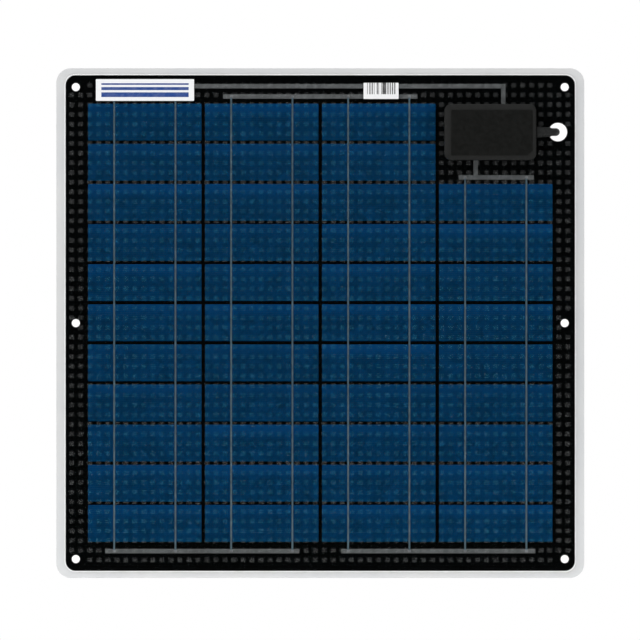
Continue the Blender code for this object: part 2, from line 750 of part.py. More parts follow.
def build_cable_clamp():
    """Saddle over the sheath with an ear and a screw on each side."""
    ear_bottom = CLAMP_POST_TOP + GAP
    ear_top = ear_bottom + CLAMP_EAR_THICKNESS
    clamp = slab(
        "cable_clamp",
        "box_plastic",
        (CLAMP_X, BOX_Z),
        (CLAMP_WIDTH, CLAMP_EAR_SPAN),
        face + ear_bottom,
        face + ear_top,
    )
    axis = along_front(CLAMP_X, CABLE_HEIGHT, BOX_Z)
    bore = CABLE_RADIUS + GAP
    arch = cylinder("clamp_arch", None, axis, bore + CLAMP_WALL, CLAMP_WIDTH, (1, 0, 0), 32)
    below = slab(
        "clamp_underside",
        None,
        (CLAMP_X, BOX_Z),
        (2 * CLAMP_WIDTH, 2 * CLAMP_EAR_SPAN),
        face,
        face + ear_bottom,
    )
    join(clamp, arch)
    cut(clamp, cylinder("clamp_bore", None, axis, bore, 3 * CLAMP_WIDTH, (1, 0, 0), 32), below)
    for number, side in enumerate((-1, 1), 1):
        z = BOX_Z + side * CLAMP_SCREW_OFFSET
        seat = along_front(CLAMP_X, ear_bottom, z)
        length = 4 * CLAMP_EAR_THICKNESS
        cut(clamp, cylinder(f"ear_hole_{number}", None, seat, SCREW_HOLE_RADIUS, length, (0, 1, 0), 12))
        build_screw(f"clamp_screw_{number}", CLAMP_X, z, ear_top + GAP, BOX_FLOOR + 2 * GAP)


# Lead


def bend_point(angle):
    """A point on the lead's bend from the box's side into the cable hole."""
    x = BEND_START_X + BEND_RADIUS * math.sin(angle)
    y = -(face + CABLE_HEIGHT) + BEND_RADIUS * (1 - math.cos(angle))
    return (x, y, BOX_Z)


def relief_tip(beyond):
    """A point straight on from the end of the relief's bend."""
    heading = Vector((math.cos(RELIEF_BEND_ANGLE), math.sin(RELIEF_BEND_ANGLE), 0))
    return Vector(bend_point(RELIEF_BEND_ANGLE)) + heading * beyond


def build_strain_relief():
    """Moulded relief: a flange inside the wall, a neck through it and a tapered bell that bends."""
    outside = BOX_X + BOX_WIDTH / 2
    inside = outside - BOX_WALL
    flange_start = inside - 2 * GAP - RELIEF_FLANGE_THICKNESS
    straight = [
        (flange_start, RELIEF_FLANGE_RADIUS),
        (inside - 2 * GAP, RELIEF_FLANGE_RADIUS),
        (inside - GAP, RELIEF_NECK_RADIUS),
        (outside + GAP / 2, RELIEF_NECK_RADIUS),
        (outside + 3 * GAP / 2, RELIEF_FLARE_RADIUS),
        (BEND_START_X, RELIEF_FLARE_RADIUS),
    ]
    points = [along_front(x, CABLE_HEIGHT, BOX_Z) for x, _ in straight]
    radii = [radius for _, radius in straight]
    for step in range(1, RELIEF_STEPS + 1):
        share = step / RELIEF_STEPS
        points.append(bend_point(RELIEF_BEND_ANGLE * share))
        radii.append(RELIEF_FLARE_RADIUS + (RELIEF_TIP_RADIUS - RELIEF_FLARE_RADIUS) * share)
    points.append(relief_tip(RELIEF_TIP_LENGTH))
    radii.append(RELIEF_TIP_RADIUS)
    tube("strain_relief", "rubber", points, CABLE_RADIUS, radii)
    start = along_front(flange_start - GAP, CABLE_HEIGHT, BOX_Z)
    end = along_front(SHEATH_END_X, CABLE_HEIGHT, BOX_Z)
    tube("inner_sheath", "rubber", [start, end], CABLE_RADIUS)


def build_inner_cores():
    """The two cores from the sheath's end to the barrels of their lugs."""
    start = SHEATH_END_X - GAP
    barrel_height = BLOCK_TOP + GAP + BAR_THICKNESS + GAP + BARREL_RADIUS
    positive = [
        (start, CABLE_HEIGHT, BOX_Z + CORE_OFFSET),
        (start - CORE_STUB, CABLE_HEIGHT, BOX_Z + CORE_OFFSET),
        POSITIVE_CORE_BEND,
        (POSITIVE_X + BARREL_END + GAP + CORE_STUB, barrel_height, POSITIVE_LUG_Z),
        (POSITIVE_X + BARREL_END + GAP, barrel_height, POSITIVE_LUG_Z),
    ]
    negative = [
        (start, CABLE_HEIGHT, BOX_Z - CORE_OFFSET),
        (start - CORE_STUB, CABLE_HEIGHT, BOX_Z - CORE_OFFSET),
        *NEGATIVE_CORE_ROUTE,
        (NEGATIVE_X + BARREL_END + GAP + CORE_STUB, barrel_height, NEGATIVE_LUG_Z),
        (NEGATIVE_X + BARREL_END + GAP, barrel_height, NEGATIVE_LUG_Z),
    ]
    for name, material, route in (
        ("inner_core_positive", "red_core", positive),
        ("inner_core_negative", "black_core", negative),
    ):
        points = [along_front(x, height, z) for x, height, z in route]
        middle = smooth_route(points[1:-1], CORE_POINT_SPACING)
        tube(name, material, [points[0], *middle, points[-1]], CORE_RADIUS)


def coil_half_width():
    """Half the coil's width across its turns, and half its depth through its layers."""
    radial = (TURNS_PER_LAYER - 1) / 2 * TURN_SPACING + CABLE_RADIUS + COIL_CLEARANCE
    axial = (COIL_LAYERS - 1) / 2 * TURN_SPACING + CABLE_RADIUS + COIL_CLEARANCE
    return radial, axial


def coil_centre():
    return Vector((COIL_X, COIL_FRONT_Y + (COIL_LAYERS - 1) / 2 * TURN_SPACING, COIL_Z))


def outside_coil(route):
    """The stretch of a smooth route where the lead is clear of the coil's outer side."""
    radial, _ = coil_half_width()
    reach = COIL_RADIUS + radial + GAP + CABLE_RADIUS
    clear = [p for p in smooth_route(route, FINE_SPACING) if math.hypot(p.x - COIL_X, p.z - COIL_Z) > reach]
    length = sum((q - p).length for p, q in zip(clear, clear[1:]))
    count = round(length / TUBE_POINT_SPACING)
    return [clear[round(i * (len(clear) - 1) / count)] for i in range(count + 1)]


def build_lead():
    """The two stretches of the lead that aren't coiled, each up to the coil's outer side."""
    start = relief_tip(RELIEF_TIP_LENGTH + GAP)
    heading = relief_tip(2 * RELIEF_TIP_LENGTH + GAP)
    tube("cable_lead", "rubber", [start, *outside_coil([heading, *LEAD_ROUTE])], CABLE_RADIUS)
    tube("cable_end", "rubber", outside_coil(END_ROUTE), CABLE_RADIUS)


def build_coil():
    """The coil's outer shape as a turned ring, and the tie round it."""
    radial, axial = coil_half_width()
    rounding = COIL_ROUNDING
    profile = []
    for across, along, start in ((1, 1, 90), (1, -1, 0), (-1, -1, -90), (-1, 1, -180)):
        centre = (COIL_RADIUS + across * (radial - rounding), along * (axial - rounding))
        for step in range(3):
            angle = math.radians(start - 45 * step)
            profile.append((centre[0] + rounding * math.cos(angle), centre[1] + rounding * math.sin(angle)))
    turned("cable_coil", "rubber", profile, coil_centre(), (0, 1, 0), closed=True, sides=COIL_STEPS)
    inner = (2 * (radial + GAP), 2 * (axial + GAP))
    outer = (inner[0] + 2 * TIE_THICKNESS, inner[1] + 2 * TIE_THICKNESS)
    place = Matrix.Translation(coil_centre()) @ Matrix.Rotation(-TIE_ANGLE, 4, "Y")
    tie_place = place @ Matrix.Translation((COIL_RADIUS, 0, 0)) @ Matrix.Rotation(math.pi / 2, 4, "X")
    tie_mesh = box_mesh("coil_tie", outer[0], TIE_WIDTH, outer[1], TIE_CORNER)
    tie = add_object("coil_tie", tie_mesh, "black_core")
    window_mesh = box_mesh("coil_tie_window", inner[0], 2 * TIE_WIDTH, inner[1], TIE_CORNER - TIE_THICKNESS)
    window = add_object("coil_tie_window", window_mesh)
    tie.matrix_world = tie_place
    window.matrix_world = tie_place
    cut(tie, window)


def build_end_cores():
    """The stripped end: two cores that part a little, each with its ferrule."""
    end = Vector(END_ROUTE[-1])
    down = (end - Vector(END_ROUTE[-2])).normalized()
    for pole, material, side in (("positive", "red_core", -1), ("negative", "black_core", 1)):
        start = end + down * GAP + Vector((side * CORE_OFFSET, 0, 0))
        straight = start + down * CORE_POINT_SPACING / 2
        tip = end + down * END_CORE_LENGTH + Vector((side * END_CORE_SPREAD, 0, 0))
        points = [start, *smooth_route([straight, (straight + tip) / 2, tip], CORE_POINT_SPACING)]
        tube(f"end_core_{pole}", material, points, CORE_RADIUS)
        direction = (points[-1] - points[-2]).normalized()
        profile = [
            (0, FERRULE_LENGTH),
            (FERRULE_RADIUS, FERRULE_LENGTH),
            (FERRULE_RADIUS, FERRULE_COLLAR_LENGTH),
            (FERRULE_COLLAR_RADIUS, FERRULE_COLLAR_LENGTH * 0.8),
            (FERRULE_COLLAR_RADIUS, 0),
            (0, 0),
        ]
        turned(f"ferrule_{pole}", "tinned_copper", profile, tip + direction * GAP, direction, sides=16)


clear_scene()
parts = new_collection("solar_panel")
cutters = new_collection("cutters")
materials = {name: new_material(name) for name in MATERIALS}
depths = layer_depths()
face = depths["front_sheet"][1]

build_plate_and_sheets()
build_edge_seal()
build_cell_strings()
build_bus_ribbons()
build_lead_ribbon(
    "lead_ribbon_positive",
    POSITIVE_X,
    POSITIVE_RUN_Z,
    (POSITIVE_RUN_START_X, POSITIVE_X + BUS_WIDTH / 2),
    BOX_Z + RIBBON_RISER_OFFSET,
)
build_lead_ribbon(
    "lead_ribbon_negative",
    NEGATIVE_X,
    NEGATIVE_RUN_Z,
    (NEGATIVE_RUN_LEFT_X, NEGATIVE_RUN_RIGHT_X),
    BOX_Z - RIBBON_RISER_OFFSET,
)
build_labels()
build_box_base()
build_box_lid()
build_lid_gasket()
build_terminals()
build_diode()
build_cable_clamp()
build_strain_relief()
build_inner_cores()
build_lead()
build_coil()
build_end_cores()
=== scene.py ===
"""Finished surfaces of the walk-on solar panel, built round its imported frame.

The panel stands upright, width along X and height along Z, with its front towards -Y. A depth is
a distance in front of the carrier plate's rear face, so a point at that depth has y = -depth.
"""

import math

import bmesh
import bpy
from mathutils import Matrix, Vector


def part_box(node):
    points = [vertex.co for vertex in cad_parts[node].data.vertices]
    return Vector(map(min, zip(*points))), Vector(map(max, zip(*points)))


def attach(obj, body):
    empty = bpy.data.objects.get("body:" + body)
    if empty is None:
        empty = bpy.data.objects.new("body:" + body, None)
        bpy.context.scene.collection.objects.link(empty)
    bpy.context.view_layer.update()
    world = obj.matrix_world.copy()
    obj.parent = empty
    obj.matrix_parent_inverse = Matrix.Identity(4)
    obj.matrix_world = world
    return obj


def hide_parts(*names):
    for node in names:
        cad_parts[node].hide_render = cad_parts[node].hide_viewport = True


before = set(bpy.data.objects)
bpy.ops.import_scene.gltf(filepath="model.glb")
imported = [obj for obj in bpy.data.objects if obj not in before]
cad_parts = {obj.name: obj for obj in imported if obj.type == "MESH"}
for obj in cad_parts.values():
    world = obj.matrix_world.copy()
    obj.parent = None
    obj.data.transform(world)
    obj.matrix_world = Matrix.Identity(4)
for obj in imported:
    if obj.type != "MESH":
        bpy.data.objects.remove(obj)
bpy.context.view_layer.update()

# Camera: it looks straight at the front, a little above the plate's centre
VIEW_WIDTH = 0.7030
CAMERA_X = -0.0003
CAMERA_Z = 0.0034
CAMERA_DISTANCE = 3.0

# Floor: it reaches less far in front, so that the film doesn't mirror it
FLOOR_WIDTH = 6.0
FLOOR_DEPTH = 4.6
FLOOR_FRONT = 0.5
FLOOR_GLOW = 0.33
FLOOR_GAP = 0.0003

# World light, and its shares behind the panel and out to its sides
WORLD_STRENGTH = 1.34
DARK_STRENGTH = 0.02
BEHIND_SHARE = 0.52
ASIDE_SHARE = 0.3

# Laminate
FILM_BACK = 0.0042
CELL_BACK = 0.0036
CELL_FRONT = 0.0039
MOUNT_HOLE_RADIUS = 0.0045
MOUNT_HOLE_X = 0.2685
MOUNT_HOLE_Z = 0.2592
CABLE_HOLE_RADIUS = 0.0102
CABLE_HOLE_X = 0.2610
PLATE_CORNER = 0.016
PLATE_EDGE = 0.0009
LAMINATE_CORNER = 0.0105
SEAL_WIDTH = 0.0016
FILM_EDGE = 0.0001
FILM_GLOSS = 0.0055
FILM_GLOSS_EDGE_ON = 0.55
LABEL_CORNER = 0.0007
LABEL_EDGE = 0.00005
# Slots in the film for the two ribbons that rise into the box
SLOT_SIZE = (0.0064, 0.0020)
SLOT_CORNER = 0.0003
SLOT_OFFSET = 0.0168
POSITIVE_X = 0.2010
NEGATIVE_X = 0.1706
# Flat faces stay truly flat when every edge over this angle in degrees is sharp
SHARP_EDGE = 5
ROUND_STEPS = 90

# Cells and ribbons
CELL_WIDTH = 0.1246
CELL_HEIGHT = 0.0404
CELL_CORNER = 0.0004
COLUMN_PITCH = 0.1285
ROW_PITCH = 0.04407
ROWS = 11
FIRST_ROWS = (0, 0, 0, 2)
ARRAY_CENTRE_Z = 0.00045
TAB_WIDTH = 0.0019
TAB_OFFSET = 0.03365
TAB_BACK = 0.00392
TAB_FRONT = 0.00412
TAB_REACH = 0.0006
LOWER_BUS_Z = -0.2505
TAB_TOPS = (0.2602, 0.2489, 0.2489, 0.1600)
FINGER_PITCH = 0.0021
SOLDER_SIZE = (0.0034, 0.0030)
SOLDER_CORNER = 0.0011

# Grip pattern embossed in the front film
DOT_COLUMNS = 56
DOT_ROWS = 50
DOT_PITCH_X = 0.00991
DOT_PITCH_Z = 0.01064
DOT_LEFT_X = -0.2731
DOT_TOP_Z = 0.2612
DOT_WIDTH = 0.0058
DOT_HEIGHT = 0.0051
DOT_CORNER = 0.0011
DOT_RELIEF = 0.00018
GREY_HAZE = (0.80, 0.82, 0.82)
# Painted light: the blue glow of the cells beneath, given to the dots that lie over them.
PAINTED_CELL_GLOW = (0.08, 0.62, 0.90)

# Junction box
BOX_CORNER = 0.0075
LID_SHOULDER = 0.0059
# Place of the lid's flat top along X and Z, from its outline's middle
LID_TOP_SHIFT = (0.0019, -0.0006)
NOTCH_SIZE = (0.0050, 0.0160)
NOTCH_CORNER = 0.0010
NOTCH_INSET = 0.0045

# Lead, with the same route as its solids
CABLE_RADIUS = 0.0043
CABLE_HEIGHT = 0.0110
BEND_START_X = 0.2388
BEND_RADIUS = 0.0200
RELIEF_BEND_ANGLE = math.radians(42)
RELIEF_RADIUS = 0.0060
RELIEF_TAPER = 0.0008
RELIEF_TIP_RADIUS = 0.0050
RELIEF_GROOVE = 0.00022
RELIEF_STEPS = 40
# The lead's tube starts this share of the way along the relief's bend, hidden inside it
LEAD_START = 0.85
LEAD_ROUTE = [
    (0.2558, -0.0068, 0.2098),
    (0.2580, -0.0015, 0.2098),
    (0.2588, 0.0040, 0.2098),
    (0.2568, 0.0150, 0.2098),
    (0.2506, 0.0246, 0.2096),
    (0.2410, 0.0308, 0.2083),
    (0.2290, 0.0333, 0.2048),
    (0.2140, 0.0337, 0.1972),
    (0.1985, 0.0337, 0.1848),
    (0.1852, 0.0337, 0.1688),
    (0.1755, 0.0337, 0.1505),
    (0.1699, 0.0337, 0.1310),
    (0.1682, 0.0337, 0.1120),
]
END_ROUTE = [
    (0.1677, 0.0070, 0.0700),
    (0.1677, 0.0071, 0.0550),
    (0.1681, 0.0073, 0.0400),
    (0.1690, 0.0077, 0.0250),
    (0.1700, 0.0082, 0.0100),
]
COIL_X = 0.2240
COIL_Z = 0.0850
COIL_RADIUS = 0.0516
COIL_FRONT_Y = 0.0070
TURN_SPACING = 0.0089
COIL_LAYERS = 4
COIL_PLACES = 8
COIL_ENTRY = 360
CHANGE_ANGLE = 45
COIL_STEP = 15
TIE_ANGLE = math.radians(68)
TIE_WIDTH = 0.0060
TIE_THICKNESS = 0.0010
TIE_CLEARANCE = 0.0006
TIE_CORNER = 0.0042

plate_low, plate_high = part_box("carrier_plate")
sheet_low, sheet_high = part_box("front_sheet")
lid_low, lid_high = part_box("box_lid")
FACE = -sheet_low.y
BOX_X = (lid_low.x + lid_high.x) / 2
BOX_Z = (lid_low.z + lid_high.z) / 2


# Node helpers


def feed(material, socket, value):
    """Links a socket to value, or sets it when value is a plain number or colour."""
    if isinstance(value, bpy.types.NodeSocket):
        material.node_tree.links.new(value, socket)
    else:
        socket.default_value = value


def surface(name, colour, roughness, metallic=0.0, specular=0.5):
    material = bpy.data.materials.new(name)
    material.use_nodes = True
    shader = shader_of(material)
    shader.inputs["Base Color"].default_value = (*colour, 1.0)
    shader.inputs["Roughness"].default_value = roughness
    shader.inputs["Metallic"].default_value = metallic
    shader.inputs["Specular IOR Level"].default_value = specular
    return material


def shader_of(material):
    return material.node_tree.nodes["Principled BSDF"]


def place(material):
    return material.node_tree.nodes.new("ShaderNodeTexCoord").outputs["Object"]


def axes_of(material, vector):
    split = material.node_tree.nodes.new("ShaderNodeSeparateXYZ")
    feed(material, split.inputs[0], vector)
    return split.outputs


def vector_of(material, x, y, z=0.0):
    joined = material.node_tree.nodes.new("ShaderNodeCombineXYZ")
    for socket, value in zip(joined.inputs, (x, y, z)):
        feed(material, socket, value)
    return joined.outputs[0]


def calc(material, operation, *values):
    node = material.node_tree.nodes.new("ShaderNodeMath")
    node.operation = operation
    for socket, value in zip(node.inputs, values):
        feed(material, socket, value)
    return node.outputs[0]


def product(material, first, *others):
    for other in others:
        first = calc(material, "MULTIPLY", first, other)
    return first


def steps_along(material, value, start, pitch):
    """How many pitches value lies past start."""
    return calc(material, "DIVIDE", calc(material, "SUBTRACT", value, start), pitch)


def remap(material, value, low, high, to_low=0.0, to_high=1.0):
    """value from low to high turned smoothly into to_low to to_high, and held beyond them."""
    node = material.node_tree.nodes.new("ShaderNodeMapRange")
    node.interpolation_type = "SMOOTHSTEP"
    for socket, number in zip(node.inputs, (value, low, high, to_low, to_high)):
        feed(material, socket, number)
    return node.outputs[0]


def noise(material, scale, detail=3.0, stretch=(1.0, 1.0, 1.0)):
    nodes = material.node_tree.nodes
    mapping = nodes.new("ShaderNodeMapping")
    mapping.inputs["Scale"].default_value = stretch
    feed(material, mapping.inputs["Vector"], place(material))
    texture = nodes.new("ShaderNodeTexNoise")
    texture.inputs["Scale"].default_value = scale
    texture.inputs["Detail"].default_value = detail
    feed(material, texture.inputs["Vector"], mapping.outputs[0])
    return texture.outputs[0]


def random_of(material, vector):
    texture = material.node_tree.nodes.new("ShaderNodeTexWhiteNoise")
    feed(material, texture.inputs["Vector"], vector)
    return texture.outputs["Value"]


def crystals(material, vector, scale):
    """A value for each crystal of a plane of crystals."""
    texture = material.node_tree.nodes.new("ShaderNodeTexVoronoi")
    texture.inputs["Scale"].default_value = scale
    feed(material, texture.inputs["Vector"], vector)
    return axes_of(material, texture.outputs["Color"])[0]


def mixed(material, share, first, second):
    node = material.node_tree.nodes.new("ShaderNodeMix")
    node.data_type = "RGBA"
    feed(material, node.inputs[0], share)
    for socket, colour in ((node.inputs[6], first), (node.inputs[7], second)):
        feed(material, socket, colour if isinstance(colour, bpy.types.NodeSocket) else (*colour, 1.0))
    return node.outputs[2]


def paint(material, colour):
    feed(material, shader_of(material).inputs["Base Color"], colour)


def vary_roughness(material, share, low, high):
    feed(material, shader_of(material).inputs["Roughness"], remap(material, share, 0.3, 0.7, low, high))


def emboss(material, height, distance, strength=1.0):
    bump = material.node_tree.nodes.new("ShaderNodeBump")
    bump.inputs["Strength"].default_value = strength
    bump.inputs["Distance"].default_value = distance
    feed(material, bump.inputs["Height"], height)
    feed(material, shader_of(material).inputs["Normal"], bump.outputs[0])


# Materials


def lacquer():
    """White stoved lacquer on the carrier plate: orange peel and faint clouding."""
    material = surface("white_lacquer", (0.70, 0.70, 0.70), 0.42)
    clouds = remap(material, noise(material, 9.0, 4.0), 0.35, 0.65)
    paint(material, mixed(material, clouds, (0.69, 0.695, 0.70), (0.73, 0.73, 0.725)))
    vary_roughness(material, noise(material, 60.0), 0.36, 0.5)
    emboss(material, noise(material, 700.0, 1.0), 0.00004)
    return material


def backing(name, roughness):
    """Black sheet behind the cells, with the faint weave of its scrim."""
    material = surface(name, (0.004, 0.004, 0.004), roughness, specular=0.0)
    weave = noise(material, 30.0)
    paint(material, mixed(material, weave, (0.0008, 0.0012, 0.0012), (0.0022, 0.0026, 0.0028)))
    emboss(material, noise(material, 1500.0, 0.0), 0.00003)
    return material


def sealant():
    material = surface("white_sealant", (0.93, 0.93, 0.93), 0.4)
    grime = remap(material, noise(material, 45.0, 4.0), 0.45, 0.75)
    paint(material, mixed(material, grime, (0.95, 0.95, 0.95), (0.86, 0.86, 0.84)))
    emboss(material, noise(material, 220.0, 2.0), 0.00015)
    return material


def see_through(material, haze):
    """Turns a material into clear film: haze is the share of it that scatters light."""
    nodes = material.node_tree.nodes
    weight = nodes.new("ShaderNodeLayerWeight")
    weight.inputs["Blend"].default_value = 0.5
    edge_on = calc(material, "POWER", weight.outputs["Facing"], 4.0)
    gloss_share = calc(material, "MULTIPLY_ADD", edge_on, FILM_GLOSS_EDGE_ON, FILM_GLOSS)
    gloss = nodes.new("ShaderNodeBsdfGlossy")
    gloss.inputs["Roughness"].default_value = 0.07
    clear = nodes.new("ShaderNodeBsdfTransparent")
    film = nodes.new("ShaderNodeMixShader")
    feed(material, film.inputs[0], gloss_share)
    feed(material, film.inputs[1], clear.outputs[0])
    feed(material, film.inputs[2], gloss.outputs[0])
    shader_output = nodes["Material Output"].inputs["Surface"]
    if haze is None:
        nodes.remove(shader_of(material))
        feed(material, shader_output, film.outputs[0])
        return
    hazy = nodes.new("ShaderNodeMixShader")
    feed(material, hazy.inputs[0], haze)
    feed(material, hazy.inputs[1], film.outputs[0])
    feed(material, hazy.inputs[2], shader_of(material).outputs[0])
    feed(material, shader_output, hazy.outputs[0])


def clear_film():
    material = surface("clear_film", (1.0, 1.0, 1.0), 0.2)
    see_through(material, None)
    return material


def rows_above(material, z):
    """How many rows of cells lie between the array's lower edge and z."""
    return steps_along(material, z, ARRAY_CENTRE_Z - ROWS * ROW_PITCH / 2, ROW_PITCH)


def over_a_cell(material, x, z):
    """1 where a point of the front lies over a cell."""
    across = calc(material, "FRACT", steps_along(material, x, -2 * COLUMN_PITCH, COLUMN_PITCH))
    in_column = calc(material, "COMPARE", across, 0.5, CELL_WIDTH / COLUMN_PITCH / 2)
    in_width = calc(material, "COMPARE", x, 0.0, 1.5 * COLUMN_PITCH + CELL_WIDTH / 2)
    rows_up = rows_above(material, z)
    up = calc(material, "FRACT", rows_up)
    in_row = calc(material, "COMPARE", up, 0.5, CELL_HEIGHT / ROW_PITCH / 2)
    in_height = calc(material, "COMPARE", rows_up, ROWS / 2, ROWS / 2)
    last_column = calc(material, "GREATER_THAN", x, COLUMN_PITCH)
    above_it = calc(material, "GREATER_THAN", rows_up, float(ROWS - FIRST_ROWS[3]))
    cells_left = calc(material, "SUBTRACT", 1.0, product(material, last_column, above_it))
    return product(material, in_column, in_width, in_row, in_height, cells_left)


def grip_film():
    """The embossed dots scatter grey light over black; over the cells they get more haze and a blue
    colour, a painted glow of the cells beneath.
    """
    material = surface("grip_film", GREY_HAZE, 0.55, specular=0.2)
    x, _, z = axes_of(material, place(material))
    column_place = steps_along(material, x, DOT_LEFT_X, DOT_PITCH_X)
    row_place = steps_along(material, z, DOT_TOP_Z, -DOT_PITCH_Z)
    column = calc(material, "ROUND", column_place)
    row = calc(material, "ROUND", row_place)
    aside = calc(material, "ABSOLUTE", calc(material, "SUBTRACT", column_place, column))
    above = calc(material, "ABSOLUTE", calc(material, "SUBTRACT", row_place, row))
    off_centre = calc(material, "MAXIMUM", aside, above)
    crown = remap(material, calc(material, "POWER", off_centre, 2.0), 0.0, 0.085, 1.0, 0.45)
    fine = remap(material, noise(material, 2400.0, 1.0), 0.3, 0.7, 0.90, 1.08)
    chance = random_of(material, vector_of(material, column, row))
    over_black = calc(material, "MULTIPLY_ADD", chance, 0.006, 0.0155)
    # Painted light: over a cell a dot gets more haze, standing in for the cell's light scattered back
    # through it.
    haze_and_painted_glow = calc(material, "MULTIPLY_ADD", calc(material, "POWER", chance, 3.0), 0.012, 0.019)
    on_cell = over_a_cell(material, x, z)
    change = calc(material, "SUBTRACT", haze_and_painted_glow, over_black)
    haze = calc(material, "MULTIPLY_ADD", on_cell, change, over_black)
    paint(material, mixed(material, on_cell, GREY_HAZE, PAINTED_CELL_GLOW))
    see_through(material, product(material, haze, fine, crown))
    return material


def silicon():
    """Polycrystalline cells: crystals of varying blue, a painted highlight along each cell's upper edge
    and fine fingers.
    """
    material = surface("polycrystalline_silicon", (0.0, 0.03, 0.09), 0.35, specular=0.0)
    x, _, z = axes_of(material, place(material))
    rows_up = rows_above(material, z)
    up = calc(material, "FRACT", rows_up)
    row = calc(material, "FLOOR", rows_up)
    column = calc(material, "FLOOR", calc(material, "DIVIDE", x, COLUMN_PITCH))
    chance = random_of(material, vector_of(material, column, row))
    shift = calc(material, "MULTIPLY", chance, 7.0)
    plane = vector_of(material, calc(material, "ADD", x, shift), calc(material, "ADD", z, shift))
    large = crystals(material, plane, 75.0)
    small = crystals(material, plane, 210.0)
    tone = calc(material, "MULTIPLY_ADD", small, 0.45, calc(material, "MULTIPLY", large, 0.55))
    body = mixed(material, tone, (0.0002, 0.022, 0.060), (0.0006, 0.033, 0.096))
    # Painted highlight: each cell's upper edge is painted lighter, more strongly in some cells than
    # others.
    highlight_strength = calc(material, "MULTIPLY_ADD", chance, 0.7, 0.3)
    painted_highlight_band = product(material, remap(material, up, 0.55, 0.9), highlight_strength)
    lit = mixed(material, painted_highlight_band, body, (0.0010, 0.041, 0.132))
    foot = remap(material, up, 0.04, 0.18, 0.20, 0.0)
    shaded = mixed(material, foot, lit, (0.001, 0.040, 0.085))
    step = calc(material, "FRACT", calc(material, "DIVIDE", z, FINGER_PITCH))
    finger = calc(material, "MULTIPLY", calc(material, "COMPARE", step, 0.5, 0.04), 0.25)
    paint(material, mixed(material, finger, shaded, (0.10, 0.12, 0.14)))
    return material


def tinned(name, colour):
    """Tinned copper ribbon: rolled along its length, dulled in patches by the solder."""
    material = surface(name, colour, 0.45, metallic=0.35)
    patches = remap(material, noise(material, 160.0, 3.0), 0.35, 0.7)
    darker = tuple(0.80 * c for c in colour)
    lighter = tuple(1.12 * c for c in colour)
    paint(material, mixed(material, patches, darker, lighter))
    vary_roughness(material, noise(material, 900.0), 0.35, 0.6)
    emboss(material, noise(material, 600.0, 2.0), 0.00003)
    return material


def moulded(name, colour, roughness, grain=1500.0, specular=0.35):
    """Moulded plastic with a spark-eroded grain."""
    material = surface(name, colour, roughness, specular=specular)
    worn = remap(material, noise(material, 70.0, 5.0), 0.4, 0.75)
    lighter = tuple(1.12 * c + 0.0004 for c in colour)
    paint(material, mixed(material, worn, colour, lighter))
    vary_roughness(material, noise(material, 240.0), roughness - 0.05, roughness + 0.05)
    emboss(material, noise(material, grain, 2.0), 0.00003)
    return material


def rubber(name, colour):
    """Rubber sheath, drawn along its length, with chalky scuffs."""
    material = surface(name, colour, 0.7, specular=0.25)
    scuffs = remap(material, noise(material, 130.0, 5.0), 0.5, 0.8)
    chalk = tuple(c + 0.014 for c in colour)
    paint(material, mixed(material, scuffs, colour, chalk))
    vary_roughness(material, noise(material, 350.0), 0.55, 0.78)
    emboss(material, noise(material, 1600.0, 2.0), 0.00004)
    return material


def metal(name, colour, roughness):
    """Machined metal with fine turning marks and a little tarnish."""
    material = surface(name, colour, roughness, metallic=1.0)
    tarnish = remap(material, noise(material, 400.0, 4.0), 0.45, 0.75)
    tarnish_and_painted_shade = tuple(0.62 * c for c in colour)
    paint(material, mixed(material, tarnish, colour, tarnish_and_painted_shade))
    vary_roughness(material, noise(material, 1200.0), roughness - 0.08, roughness + 0.12)
    emboss(material, noise(material, 1200.0, 1.0, (1.0, 1.0, 8.0)), 0.00002)
    return material


def insulation(name, colour):
    material = surface(name, colour, 0.4)
    lighter = tuple(min(1.0, 1.2 * c + 0.01) for c in colour)
    paint(material, mixed(material, noise(material, 300.0, 3.0), colour, lighter))
    vary_roughness(material, noise(material, 500.0), 0.32, 0.5)
    emboss(material, noise(material, 1800.0, 1.0), 0.00003)
    return material


def foam():
    material = surface("black_foam", (0.02, 0.02, 0.02), 0.9, specular=0.2)
    texture = material.node_tree.nodes.new("ShaderNodeTexVoronoi")
    texture.inputs["Scale"].default_value = 1500.0
    feed(material, texture.inputs["Vector"], place(material))
    pore_depth_and_painted_shade = texture.outputs["Distance"]
    # Painted shade: each pore is painted darker towards its pit, where the bump dips.
    paint(material, mixed(material, pore_depth_and_painted_shade, (0.008, 0.008, 0.008), (0.035, 0.035, 0.035)))
    emboss(material, pore_depth_and_painted_shade, 0.0002)
    return material


def label_stock(name):
    """Matt white label film; its print is added by the label's own function."""
    material = surface(name, (0.97, 0.97, 0.97), 0.5)
    emboss(material, noise(material, 500.0, 2.0), 0.00003)
    return material


def inside(material, value, low, high):
    return calc(material, "COMPARE", value, (low + high) / 2, (high - low) / 2)


def striped_label(low, high):
    """Blank label with three plain blue stripes of falling width."""
    material = label_stock("striped_label")
    x, _, z = axes_of(material, place(material))
    margin = 0.0060
    across = inside(material, x, low.x + margin, high.x - margin)
    stripes = None
    edge = low.z + 0.0042
    for thickness in (0.0052, 0.0034, 0.0018):
        stripe = inside(material, z, edge, edge + thickness)
        stripes = stripe if stripes is None else calc(material, "ADD", stripes, stripe)
        edge += thickness + 0.0024
    ink = remap(material, noise(material, 260.0, 3.0), 0.3, 0.7, 0.94, 1.0)
    white = mixed(material, noise(material, 40.0), (0.97, 0.97, 0.97), (0.93, 0.93, 0.94))
    paint(material, mixed(material, product(material, stripes, across, ink), white, (0.003, 0.050, 0.260)))
    return material


